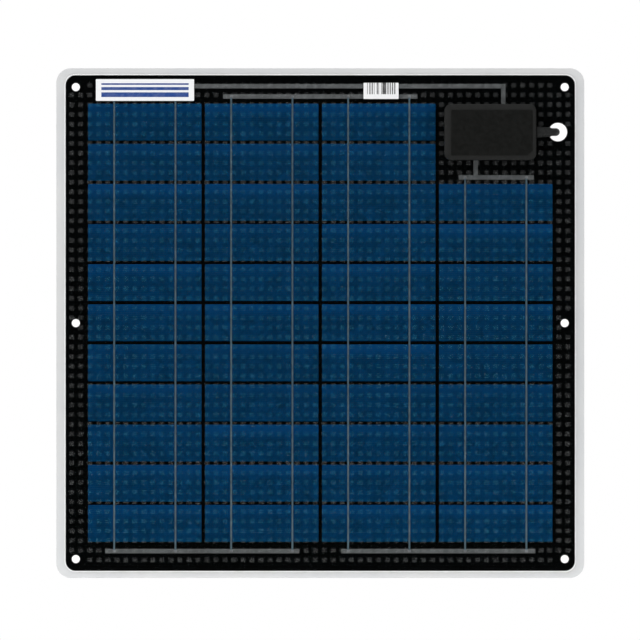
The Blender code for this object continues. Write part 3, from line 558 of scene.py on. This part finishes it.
def barred_label(low, high):
    """Label with made-up bars of random width that encode nothing."""
    material = label_stock("barred_label")
    x, _, z = axes_of(material, place(material))
    bar_width = 0.00062
    across = inside(material, x, low.x + 0.0035, high.x - 0.0025)
    upward = inside(material, z, low.z + 0.0052, high.z)
    index = calc(material, "FLOOR", calc(material, "DIVIDE", x, bar_width))
    dark = calc(material, "GREATER_THAN", random_of(material, vector_of(material, index, 3.0)), 0.47)
    white = mixed(material, noise(material, 60.0), (0.97, 0.97, 0.97), (0.92, 0.92, 0.92))
    ink = remap(material, noise(material, 400.0), 0.3, 0.7, 0.86, 0.97)
    bars = product(material, across, upward, dark, ink)
    paint(material, mixed(material, bars, white, (0.03, 0.03, 0.03)))
    return material


# Shape helpers


def new_object(name, data):
    obj = bpy.data.objects.new(name, data)
    bpy.context.scene.collection.objects.link(obj)
    return obj


def finished(obj, body, slot, material, *replaced):
    """Gives a piece its material and body, and hides the nodes that it stands for. The slot is not used.
    """
    obj.data.materials.clear()
    obj.data.materials.append(material)
    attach(obj, body)
    if replaced:
        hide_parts(*replaced)
    return obj


def smoothed(mesh, degrees=35):
    mesh.shade_smooth()
    mesh.set_sharp_from_angle(angle=math.radians(degrees))


def mesh_object(name, bm, degrees=35):
    bmesh.ops.recalc_face_normals(bm, faces=bm.faces)
    mesh = bpy.data.meshes.new(name)
    bm.to_mesh(mesh)
    bm.free()
    smoothed(mesh, degrees)
    return new_object(name, mesh)


def add_loft(bm, rings, closed=False):
    """Adds a closed surface over rings of points: a closed loop of rings, or one capped at both ends."""
    loops = [[bm.verts.new(point) for point in ring] for ring in rings]
    pairs = list(zip(loops, loops[1:]))
    if closed:
        pairs.append((loops[-1], loops[0]))
    else:
        bm.faces.new(loops[0])
        bm.faces.new(loops[-1])
    for first, second in pairs:
        for i in range(len(first)):
            j = (i + 1) % len(first)
            bm.faces.new((first[i], first[j], second[j], second[i]))


def lofted(name, rings, closed=False, degrees=35):
    bm = bmesh.new()
    add_loft(bm, rings, closed)
    return mesh_object(name, bm, degrees)


def rounded_outline(width, height, corner, steps=8):
    """Points (x, z) round a rectangle about the origin, anticlockwise."""
    points = []
    for right, up, start in ((1, -1, 270), (1, 1, 0), (-1, 1, 90), (-1, -1, 180)):
        centre_x = right * (width / 2 - corner)
        centre_z = up * (height / 2 - corner)
        for step in range(steps + 1):
            angle = math.radians(start + 90 * step / steps)
            points.append((centre_x + corner * math.cos(angle), centre_z + corner * math.sin(angle)))
    return points


def circle_outline(x, z, radius):
    turns = [2 * math.pi * step / ROUND_STEPS for step in range(ROUND_STEPS)]
    return [(x + radius * math.cos(a), z - radius * math.sin(a)) for a in turns]


def ring_at(outline, centre, depth):
    return [(centre[0] + x, -depth, centre[1] + z) for x, z in outline]


def flat_piece(name, outlines, back, front, edge):
    """A flat piece with rounded edges. The first outline is its own, the others are its holes."""
    curve = bpy.data.curves.new(name, "CURVE")
    curve.dimensions = "2D"
    curve.fill_mode = "BOTH"
    curve.extrude = (front - back) / 2 - edge
    curve.bevel_depth = edge
    curve.bevel_resolution = 3
    curve.offset = -edge
    for outline in outlines:
        spline = curve.splines.new("POLY")
        spline.points.add(len(outline) - 1)
        for point, (x, z) in zip(spline.points, outline):
            point.co = (x, z, 0.0, 1.0)
        spline.use_cyclic_u = True
    guide = new_object(name + "_guide", curve)
    guide.rotation_euler.x = math.pi / 2
    guide.location.y = -(back + front) / 2
    return as_mesh(guide, name, degrees=SHARP_EDGE)


def as_mesh(obj, name, degrees=35):
    """Replaces an object by a mesh object of its evaluated shape, in world space."""
    bpy.context.view_layer.update()
    evaluated = obj.evaluated_get(bpy.context.evaluated_depsgraph_get())
    mesh = bpy.data.meshes.new_from_object(evaluated)
    mesh.transform(obj.matrix_world)
    bpy.data.objects.remove(obj, do_unlink=True)
    bm = bmesh.new()
    bm.from_mesh(mesh)
    bmesh.ops.remove_doubles(bm, verts=bm.verts, dist=0.000002)
    bpy.data.meshes.remove(mesh)
    return mesh_object(name, bm, degrees)


def carved(obj, cutter):
    """The object with the cutter's shape taken out of it."""
    modifier = obj.modifiers.new("cut", "BOOLEAN")
    modifier.object = cutter
    modifier.solver = "EXACT"
    name = obj.name
    obj.name = name + "_whole"
    result = as_mesh(obj, name)
    bpy.data.objects.remove(cutter, do_unlink=True)
    return result


def tube(name, points, radius, radii=None, resolution=6):
    """A round tube on a smooth spline through the points. radii gives each point its own radius."""
    curve = bpy.data.curves.new(name, "CURVE")
    curve.dimensions = "3D"
    curve.bevel_depth = radius
    curve.bevel_resolution = 6
    curve.resolution_u = resolution
    curve.use_fill_caps = True
    spline = curve.splines.new("BEZIER")
    spline.bezier_points.add(len(points) - 1)
    for i, point in enumerate(points):
        knot = spline.bezier_points[i]
        knot.co = point
        knot.handle_left_type = "AUTO"
        knot.handle_right_type = "AUTO"
        knot.radius = radii[i] / radius if radii else 1.0
    return new_object(name, curve)


def soften(node, width, angle=30):
    """Rounds a frame node's edges with modifiers, which leave its own mesh as it is."""
    weld = node.modifiers.new("weld", "WELD")
    weld.merge_threshold = 0.000002
    flat = node.modifiers.new("flat", "DECIMATE")
    flat.decimate_type = "DISSOLVE"
    flat.angle_limit = math.radians(1)
    bevel = node.modifiers.new("edges", "BEVEL")
    bevel.width = width
    bevel.segments = 2
    bevel.limit_method = "ANGLE"
    bevel.angle_limit = math.radians(angle)


def coat(name, material, width=None):
    """Gives a frame node a finished material and, with width, rounded edges."""
    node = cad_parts[name]
    for slot in node.material_slots:
        slot.material = material
    if width:
        soften(node, width)


# Camera, light and floor


def build_camera():
    data = bpy.data.cameras.new("camera")
    data.type = "ORTHO"
    data.ortho_scale = VIEW_WIDTH
    data.clip_end = 20.0
    camera = new_object("camera", data)
    camera.location = (CAMERA_X, -CAMERA_DISTANCE, CAMERA_Z)
    camera.rotation_euler = (math.pi / 2, 0, 0)
    bpy.context.scene.camera = camera


def build_world():
    """White to the eye. As a light it is soft, dark straight before the panel, dimmer aside and behind."""
    world = bpy.data.worlds.new("studio")
    bpy.context.scene.world = world
    world.use_nodes = True
    nodes = world.node_tree.nodes
    nodes.clear()
    direction = nodes.new("ShaderNodeTexCoord").outputs["Generated"]
    sideways, forward, _ = axes_of(world, direction)
    before = remap(world, forward, -0.95, -0.78, DARK_STRENGTH, WORLD_STRENGTH)
    behind = remap(world, forward, 0.0, 0.25, 1.0, BEHIND_SHARE)
    aside = remap(world, calc(world, "ABSOLUTE", sideways), 0.5, 1.0, 1.0, ASIDE_SHARE)
    strength = product(world, before, behind, aside)
    light = nodes.new("ShaderNodeBackground")
    light.inputs["Color"].default_value = (0.98, 0.99, 1.0, 1.0)
    feed(world, light.inputs["Strength"], strength)
    seen = nodes.new("ShaderNodeBackground")
    seen.inputs["Color"].default_value = (1.0, 1.0, 1.0, 1.0)
    shown = nodes.new("ShaderNodeMixShader")
    feed(world, shown.inputs[0], nodes.new("ShaderNodeLightPath").outputs["Is Camera Ray"])
    feed(world, shown.inputs[1], light.outputs[0])
    feed(world, shown.inputs[2], seen.outputs[0])
    feed(world, nodes.new("ShaderNodeOutputWorld").inputs["Surface"], shown.outputs[0])


def build_softbox(name, location, size, energy):
    data = bpy.data.lights.new(name, "AREA")
    data.size = size
    data.energy = energy
    light = new_object(name, data)
    light.location = location
    light.rotation_euler = (-Vector(location)).to_track_quat("-Z", "Y").to_euler()


def build_floor():
    bm = bmesh.new()
    bmesh.ops.create_grid(bm, x_segments=1, y_segments=1, size=1.0)
    bmesh.ops.scale(bm, vec=(FLOOR_WIDTH / 2, FLOOR_DEPTH / 2, 1.0), verts=bm.verts)
    floor = mesh_object("floor", bm)
    floor.location = (0, FLOOR_DEPTH / 2 - FLOOR_FRONT, plate_low.z - FLOOR_GAP)
    material = surface("pale_floor", (0.82, 0.82, 0.81), 0.6)
    paint(material, mixed(material, noise(material, 3.0), (0.88, 0.88, 0.87), (0.91, 0.91, 0.90)))
    shader_of(material).inputs["Emission Color"].default_value = (1.0, 1.0, 1.0, 1.0)
    shader_of(material).inputs["Emission Strength"].default_value = FLOOR_GLOW
    floor.data.materials.append(material)


# Lead


def bend_point(angle):
    """A point on the lead's bend from the box's side into the cable hole."""
    x = BEND_START_X + BEND_RADIUS * math.sin(angle)
    y = -(FACE + CABLE_HEIGHT) + BEND_RADIUS * (1 - math.cos(angle))
    return (x, y, BOX_Z)


def coil_place(number):
    """Radius and y of a place in the bundle, counted from the outer rear one to the outer front one."""
    layer = number // 2
    outward = 0.5 if number % 4 in (0, 3) else -0.5
    return COIL_RADIUS + outward * TURN_SPACING, COIL_FRONT_Y + (COIL_LAYERS - 1 - layer) * TURN_SPACING


def coil_point(turned):
    """The coil's centreline at an angle turned anticlockwise from its left side, in degrees.

    Each turn stays in its place until the next place is free, then moves over within CHANGE_ANGLE.
    """
    radius, y = coil_place(0)
    for number in range(1, COIL_PLACES):
        start = 360 * number + (COIL_PLACES - 1 - number) * CHANGE_ANGLE
        share = min(max((turned - start) / CHANGE_ANGLE, 0.0), 1.0)
        share = share * share * (3 - 2 * share)
        next_radius, next_y = coil_place(number)
        radius += (next_radius - radius) * share
        y += (next_y - y) * share
    angle = math.radians(turned)
    return (COIL_X - radius * math.cos(angle), y, COIL_Z - radius * math.sin(angle))


def build_lead():
    tip = bend_point(RELIEF_BEND_ANGLE)
    coil = [coil_point(turned) for turned in range(COIL_ENTRY, 360 * COIL_PLACES + 1, COIL_STEP)]
    route = [bend_point(RELIEF_BEND_ANGLE * LEAD_START), tip, *LEAD_ROUTE, *coil, *END_ROUTE]
    lead = tube("lead", route, CABLE_RADIUS)
    sheath = rubber("rubber_sheath", (0.0085, 0.0092, 0.0088))
    finished(lead, "panel", "sheath", sheath, "cable_lead", "cable_coil", "cable_end")
    tie = build_tie()


def build_tie():
    """Strap round the whole bundle of turns."""
    inner_x = TURN_SPACING / 2 + CABLE_RADIUS + TIE_CLEARANCE
    inner_y = (COIL_LAYERS - 1) / 2 * TURN_SPACING + CABLE_RADIUS + TIE_CLEARANCE
    middle_y = COIL_FRONT_Y + (COIL_LAYERS - 1) / 2 * TURN_SPACING
    edge = 0.0003
    half = TIE_WIDTH / 2
    # Section of the strap, as distance out from the bundle and distance along the coil's line
    section = [
        (0.0, -half + edge),
        (edge, -half),
        (TIE_THICKNESS - edge, -half),
        (TIE_THICKNESS, -half + edge),
        (TIE_THICKNESS, half - edge),
        (TIE_THICKNESS - edge, half),
        (edge, half),
        (0.0, half - edge),
    ]
    outward = Vector((math.cos(TIE_ANGLE), 0, math.sin(TIE_ANGLE)))
    along = Vector((-math.sin(TIE_ANGLE), 0, math.cos(TIE_ANGLE)))
    centre = Vector((COIL_X, middle_y, COIL_Z)) + outward * COIL_RADIUS
    rings = []
    for out, ahead in section:
        outline = rounded_outline(2 * (inner_x + out), 2 * (inner_y + out), TIE_CORNER + out)
        rings.append([centre + outward * x + Vector((0, y, 0)) + along * ahead for x, y in outline])
    tie = lofted("coil_strap", rings, closed=True)
    strap = moulded("nylon_strap", (0.012, 0.012, 0.013), 0.4)
    return finished(tie, "panel", "tie", strap, "coil_tie")


def build_strain_relief():
    """Moulded relief: a flange inside the wall, a neck through it and a bell that bends and tapers."""
    wall = lid_high.x
    # Distance out from the wall, and radius
    straight = [
        (-0.0053, 0.0056),
        (-0.0052, 0.0060),
        (-0.0038, 0.0060),
        (-0.0036, 0.0050),
        (0.0000, 0.0050),
        (0.0002, 0.0057),
    ]
    y = -(FACE + CABLE_HEIGHT)
    points = [(wall + along, y, BOX_Z) for along, _ in straight]
    radii = [radius for _, radius in straight]
    for step in range(RELIEF_STEPS + 1):
        share = step / RELIEF_STEPS
        grooved = 0.12 < share < 0.85 and step % 8 in (3, 4)
        points.append(bend_point(RELIEF_BEND_ANGLE * share))
        radii.append(RELIEF_RADIUS - RELIEF_TAPER * share - (RELIEF_GROOVE if grooved else 0.0))
    points.append(Vector(points[-1]) * 2 - Vector(points[-2]))
    radii.append(RELIEF_TIP_RADIUS)
    relief = tube("cable_relief", points, CABLE_RADIUS, radii, resolution=2)
    sleeve = rubber("relief_rubber", (0.0080, 0.0088, 0.0085))
    finished(relief, "panel", "sheath", sleeve, "strain_relief")


# Plate and laminate


def mount_holes():
    return [(side * MOUNT_HOLE_X, row * MOUNT_HOLE_Z) for side in (-1, 1) for row in (-1, 0, 1)]


def hole_outlines():
    holes = [circle_outline(x, z, MOUNT_HOLE_RADIUS) for x, z in mount_holes()]
    return [*holes, circle_outline(CABLE_HOLE_X, BOX_Z, CABLE_HOLE_RADIUS)]


def slot_outlines():
    width, height = SLOT_SIZE
    slots = []
    for x, z in ((POSITIVE_X, BOX_Z + SLOT_OFFSET), (NEGATIVE_X, BOX_Z - SLOT_OFFSET)):
        slots.append([(x + dx, z - dz) for dx, dz in rounded_outline(width, height, SLOT_CORNER, 3)])
    return slots


def build_plate():
    size = plate_high - plate_low
    outline = rounded_outline(size.x, size.z, PLATE_CORNER, ROUND_STEPS // 4)
    plate = flat_piece("plate", [outline, *hole_outlines()], -plate_high.y, -plate_low.y, PLATE_EDGE)
    finished(plate, "panel", "white_plate", lacquer(), "carrier_plate")


def build_film():
    size = sheet_high - sheet_low
    outline = rounded_outline(size.x, size.z, LAMINATE_CORNER, ROUND_STEPS // 4)
    outlines = [outline, *hole_outlines(), *slot_outlines()]
    film = flat_piece("front_film", outlines, FILM_BACK, FACE, FILM_EDGE)
    finished(film, "panel", "film", clear_film(), "front_sheet", "front_encapsulant")


def build_seal():
    """Bead of sealant: upright against the laminate, rounded over to the plate."""
    low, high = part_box("edge_seal")
    width = high.x - low.x
    height = high.z - low.z
    corner = LAMINATE_CORNER + SEAL_WIDTH
    back = -high.y
    # Inset from the bead's outline, and height over its back
    profile = [
        (0.0013, 0.0),
        (0.0013, 0.0020),
        (0.0012, 0.0024),
        (0.0009, 0.0026),
        (0.0005, 0.0025),
        (0.0002, 0.0020),
        (0.0, 0.0012),
        (0.0, 0.0),
    ]
    rings = []
    for inset, rise in profile:
        outline = rounded_outline(width - 2 * inset, height - 2 * inset, corner - inset, 12)
        rings.append(ring_at(outline, (0, 0), back + rise))
    seal = lofted("seal_bead", rings, closed=True, degrees=60)
    finished(seal, "panel", "sealant", sealant(), "edge_seal")


def covered(x, z):
    """True where the film's grip pattern can't be seen or is cut away by a hole."""
    for hole_x, hole_z in mount_holes():
        if math.hypot(x - hole_x, z - hole_z) < MOUNT_HOLE_RADIUS + DOT_HEIGHT / 2:
            return True
    if math.hypot(x - CABLE_HOLE_X, z - BOX_Z) < CABLE_HOLE_RADIUS + DOT_HEIGHT / 2:
        return True
    for name in ("type_label", "code_label", "box_adhesive_pad"):
        low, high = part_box(name)
        inside_x = low.x + DOT_WIDTH / 2 < x < high.x - DOT_WIDTH / 2
        if inside_x and low.z + DOT_HEIGHT / 2 < z < high.z - DOT_HEIGHT / 2:
            return True
    return False


def build_grip_dots():
    """Pillows embossed in the film: a regular grid of small rounded squares."""
    # Inset from the dot's outline, and height over the film's face
    profile = [(0.0, -0.00006), (0.0004, 0.6 * DOT_RELIEF), (0.0013, DOT_RELIEF)]
    bm = bmesh.new()
    for row in range(DOT_ROWS):
        z = DOT_TOP_Z - row * DOT_PITCH_Z
        for column in range(DOT_COLUMNS):
            x = DOT_LEFT_X + column * DOT_PITCH_X
            if covered(x, z):
                continue
            rings = []
            for inset, rise in profile:
                width = DOT_WIDTH - 2 * inset
                height = DOT_HEIGHT - 2 * inset
                outline = rounded_outline(width, height, DOT_CORNER - inset / 2, 2)
                rings.append(ring_at(outline, (x, z), FACE + rise))
            add_loft(bm, rings)
    dots = mesh_object("grip_dots", bm, 60)
    finished(dots, "panel", "film", grip_film())


# Cells and ribbons


def column_x(column):
    return (column - 1.5) * COLUMN_PITCH


def row_z(row):
    return ARRAY_CENTRE_Z + (ROWS - 1 - 2 * row) / 2 * ROW_PITCH


def build_cells():
    material = silicon()
    outline = rounded_outline(CELL_WIDTH, CELL_HEIGHT, CELL_CORNER, 2)
    for column, first in enumerate(FIRST_ROWS):
        bm = bmesh.new()
        for row in range(first, ROWS):
            centre = (column_x(column), row_z(row))
            add_loft(bm, [ring_at(outline, centre, CELL_BACK), ring_at(outline, centre, CELL_FRONT)])
        cells = mesh_object(f"cells_{column + 1}", bm)
        finished(cells, "panel", "silicon", material, f"cell_string_{column + 1}")


def ribbon_rings(x, low, high, width, back, front):
    """A flat ribbon with rounded long edges, from low to high."""
    half = width / 2
    edge = (front - back) / 3
    section = [
        (-half, back + edge),
        (-half + edge, back),
        (half - edge, back),
        (half, back + edge),
        (half, front - edge),
        (half - edge, front),
        (-half + edge, front),
        (-half, front - edge),
    ]
    return [[(x + across, -depth, z) for across, depth in section] for z in (low, high)]


def build_tabs(material):
    for column, top in enumerate(TAB_TOPS):
        for name, side in (("left", -1), ("right", 1)):
            x = column_x(column) + side * TAB_OFFSET
            ends = (LOWER_BUS_Z - TAB_REACH, top + TAB_REACH)
            rings = ribbon_rings(x, *ends, TAB_WIDTH, TAB_BACK, TAB_FRONT)
            tab = lofted(f"tabbing_ribbon_{column + 1}_{name}", rings)
            finished(tab, "panel", "tinned_copper", material)


def build_solder_joints(material):
    """A flattened drop of solder where each tabbing ribbon crosses its bus ribbon."""
    width, height = SOLDER_SIZE
    # Share of the joint's size, and depth
    profile = [(1.0, 0.00392), (0.9, 0.00408), (0.6, 0.00416)]
    bm = bmesh.new()
    for column, top in enumerate(TAB_TOPS):
        for side in (-1, 1):
            x = column_x(column) + side * TAB_OFFSET
            for z in (LOWER_BUS_Z, top):
                rings = []
                for share, depth in profile:
                    outline = rounded_outline(width * share, height * share, SOLDER_CORNER * share, 4)
                    rings.append(ring_at(outline, (x, z), depth))
                add_loft(bm, rings)
    joints = mesh_object("solder_joints", bm, 60)
    finished(joints, "panel", "tinned_copper", material)


def build_ribbons():
    build_tabs(tinned("tinned_tab", (0.080, 0.128, 0.156)))
    build_solder_joints(tinned("solder", (0.19, 0.195, 0.20)))
    # Painted shade and painted light: the lower bus ribbons get a darker copy of the tinned finish, the
    # upper bus and lead ribbons a lighter copy.
    tarnish_and_painted_shade = tinned("tinned_bus_painted_shade", (0.098, 0.104, 0.106))
    painted_light_tin = tinned("tinned_bus_painted_light", (0.126, 0.134, 0.136))
    coat("bus_ribbon_lower_left", tarnish_and_painted_shade)
    coat("bus_ribbon_lower_right", tarnish_and_painted_shade)
    for name in ("bus_ribbon_upper", "lead_ribbon_positive", "lead_ribbon_negative"):
        coat(name, painted_light_tin)


def build_label(name, node, make_material):
    low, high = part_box(node)
    size = high - low
    centre = ((low.x + high.x) / 2, (low.z + high.z) / 2)
    rings = []
    for inset, depth in ((0.0, -high.y), (0.0, -low.y - LABEL_EDGE), (LABEL_EDGE, -low.y)):
        outline = rounded_outline(size.x - 2 * inset, size.z - 2 * inset, LABEL_CORNER - inset, 6)
        rings.append(ring_at(outline, centre, depth))
    finished(lofted(name, rings), "panel", "label", make_material(low, high), node)


# Junction box


def lid_outline(inset, corner_cut=0.0):
    """The lid's outline, inset all round. corner_cut flattens the lower right corner."""
    size = lid_high - lid_low
    corner = max(BOX_CORNER - inset, 0.0010)
    outline = rounded_outline(size.x - 2 * inset, size.z - 2 * inset, corner, 8)
    if corner_cut:
        right = size.x / 2 - inset
        low = -size.z / 2 + inset
        start = Vector((right - corner_cut, low))
        end = Vector((right, low + corner_cut))
        count = len(outline) // 4
        outline[:count] = [tuple(start.lerp(end, step / (count - 1))) for step in range(count)]
    return outline


def build_lid():
    """Lid as a shell: ceiling, snap tongue, rim, sloping shoulder and flat top, with a cable notch."""
    # Inset, height over the film's face, and how far the lower right corner is cut
    body = [
        (0.0046, 0.0205, 0),
        (0.0046, 0.0148, 0),
        (0.0043, 0.0145, 0),
        (0.0036, 0.0145, 0),
        (0.0033, 0.0148, 0),
        (0.0033, 0.0185, 0),
        (0.0004, 0.0185, 0),
        (0.0001, 0.0186, 0),
        (0.0, 0.0189, 0),
        (0.0, 0.0196, 0),
        (0.0003, 0.0202, 0),
        (0.0010, 0.0207, 0),
    ]
    top = [
        (LID_SHOULDER - 0.0009, 0.0222, 0.0062),
        (LID_SHOULDER - 0.0003, 0.02245, 0.0059),
        (LID_SHOULDER + 0.0004, 0.0225, 0.0056),
    ]
    top_centre = (BOX_X + LID_TOP_SHIFT[0], BOX_Z + LID_TOP_SHIFT[1])
    rings = [ring_at(lid_outline(inset, cut), (BOX_X, BOX_Z), FACE + rise) for inset, rise, cut in body]
    rings += [ring_at(lid_outline(inset, cut), top_centre, FACE + rise) for inset, rise, cut in top]
    lid = lofted("lid", rings, degrees=50)
    bm = bmesh.new()
    notch = rounded_outline(*NOTCH_SIZE, NOTCH_CORNER, 4)
    centre = (lid_high.x - NOTCH_INSET, BOX_Z)
    add_loft(bm, [ring_at(notch, centre, FACE + 0.0120), ring_at(notch, centre, FACE + 0.0184)])
    lid = carved(lid, mesh_object("lid_notch", bm))
    plastic = moulded("lid_plastic", (0.0037, 0.0039, 0.0032), 0.45, specular=0.2)
    finished(lid, "lid", "box_plastic", plastic, "box_lid")


def build_box():
    shell = moulded("box_plastic", (0.013, 0.0135, 0.0135), 0.5)
    coat("box_base", shell, 0.0004)
    coat("cable_clamp", shell, 0.0003)
    coat("box_adhesive_pad", foam())
    coat("lid_gasket", rubber("gasket_rubber", (0.03, 0.03, 0.032)), 0.0002)
    coat("terminal_block", moulded("block_plastic", (0.30, 0.30, 0.28), 0.5), 0.0004)
    brass = metal("brass", (0.62, 0.46, 0.19), 0.32)
    steel = metal("steel", (0.56, 0.56, 0.57), 0.3)
    tin = metal("tinned_lug", (0.62, 0.62, 0.60), 0.38)
    for pole in ("positive", "negative"):
        coat(f"terminal_bar_{pole}", brass, 0.0001)
        coat(f"terminal_screw_{pole}", steel, 0.0001)
        coat(f"lug_{pole}", tin)
        coat(f"ferrule_{pole}", tin)
    for number in (1, 2):
        coat(f"clamp_screw_{number}", steel, 0.0001)
    coat("bypass_diode", moulded("diode_epoxy", (0.012, 0.012, 0.012), 0.4))
    coat("inner_sheath", rubber("inner_rubber", (0.026, 0.027, 0.026)))
    red = insulation("red_insulation", (0.42, 0.018, 0.014))
    black = insulation("black_insulation", (0.013, 0.013, 0.013))
    for name in ("inner_core", "end_core"):
        coat(f"{name}_positive", red)
        coat(f"{name}_negative", black)


build_camera()
build_world()
build_softbox("key_light", (-1.9, -1.2, 0.5), 1.0, 8.0)
build_softbox("fill_light", (1.9, -1.1, 0.3), 1.0, 3.0)
build_floor()

build_lead()
build_strain_relief()
build_plate()
build_seal()
coat("back_sheet", backing("back_sheet_black", 0.5))
coat("rear_encapsulant", backing("laminate_black", 0.35))
build_cells()
build_ribbons()
build_film()
build_grip_dots()
build_label("striped_type_label", "type_label", striped_label)
build_label("barred_code_label", "code_label", barred_label)
build_box()
build_lid()

bpy.context.scene.view_settings.view_transform = "Standard"
